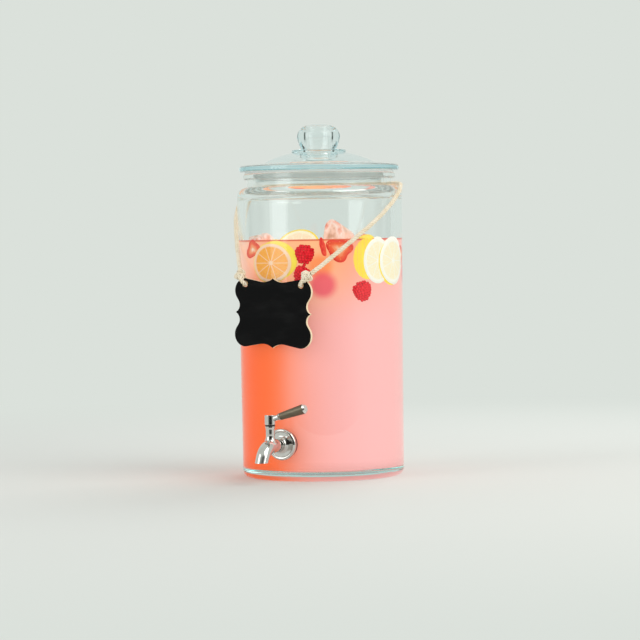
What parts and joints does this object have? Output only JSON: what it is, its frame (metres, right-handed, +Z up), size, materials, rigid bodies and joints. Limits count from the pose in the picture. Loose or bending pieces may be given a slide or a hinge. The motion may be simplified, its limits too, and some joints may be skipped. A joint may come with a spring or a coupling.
{
  "type": "drink dispenser",
  "caption": "Clear glass drink dispenser with a rounded shoulder, loose domed lid with a hollow knob, steel lever tap near the base and a chalkboard tag hung on twine.",
  "frame": {"origin": "on the jar's axis, at the middle of the flat face that the jar stands on", "axes": "+Z up along the jar's axis, -Y out of the tap, +X the way the closed lever points"},
  "size_m": [0.2038, 0.25, 0.4089],
  "materials": {
    "jar_glass": "clear, faintly green at the edges",
    "lid_glass": "clear, pressed",
    "clear_seal": "translucent",
    "polished_steel": "polished",
    "grip_steel": "brushed",
    "plain_steel": "turned",
    "plug_brass": "turned",
    "seal_rubber": "matte",
    "washer_plastic": "matte",
    "board_wood": "chalkboard paint, bare edge",
    "jute": "twisted fibre"
  },
  "bodies": {
    "jar": {"glass_jar": "jar_glass", "spigot_body": "polished_steel", "outer_seal": "seal_rubber", "inner_seal": "seal_rubber", "clamp_washer": "plain_steel", "lock_nut": "plain_steel", "gland_ring": "plug_brass"},
    "lid": {"lid_glass": "lid_glass", "lid_gasket": "clear_seal"},
    "valve": {"valve_plug": "plug_brass", "lower_stem_oring": "seal_rubber", "upper_stem_oring": "seal_rubber", "friction_washer": "washer_plastic", "lever_hub": "polished_steel", "lever_grip": "grip_steel", "grub_screw": "plain_steel"},
    "hang_loop": {"hang_twine": "jute"},
    "sign": {"sign_board": "board_wood", "left_knot": "jute", "right_knot": "jute"}
  },
  "joints": [
    {"name": "lid_lift", "type": "slide", "parent": "jar", "child": "lid", "axis": [0, 0, 1], "range_m": [0, 0.1]},
    {"name": "lever_turn", "type": "hinge", "parent": "jar", "child": "valve", "pos_m": [0, -0.12522, 0.073], "axis": [0, 0, -1], "range_deg": [0, 90]},
    {"name": "label_turn", "type": "hinge", "parent": "jar", "child": "hang_loop", "pos_m": [0, 0, 0.339], "axis": [0, 0, 1], "continuous": true},
    {"name": "sign_tilt", "type": "hinge", "parent": "hang_loop", "child": "sign", "pos_m": [-0.00786, -0.09768, 0.234], "axis": [-0.9964, 0.0802, 0.0262], "range_deg": [0, 90]}
  ]
}
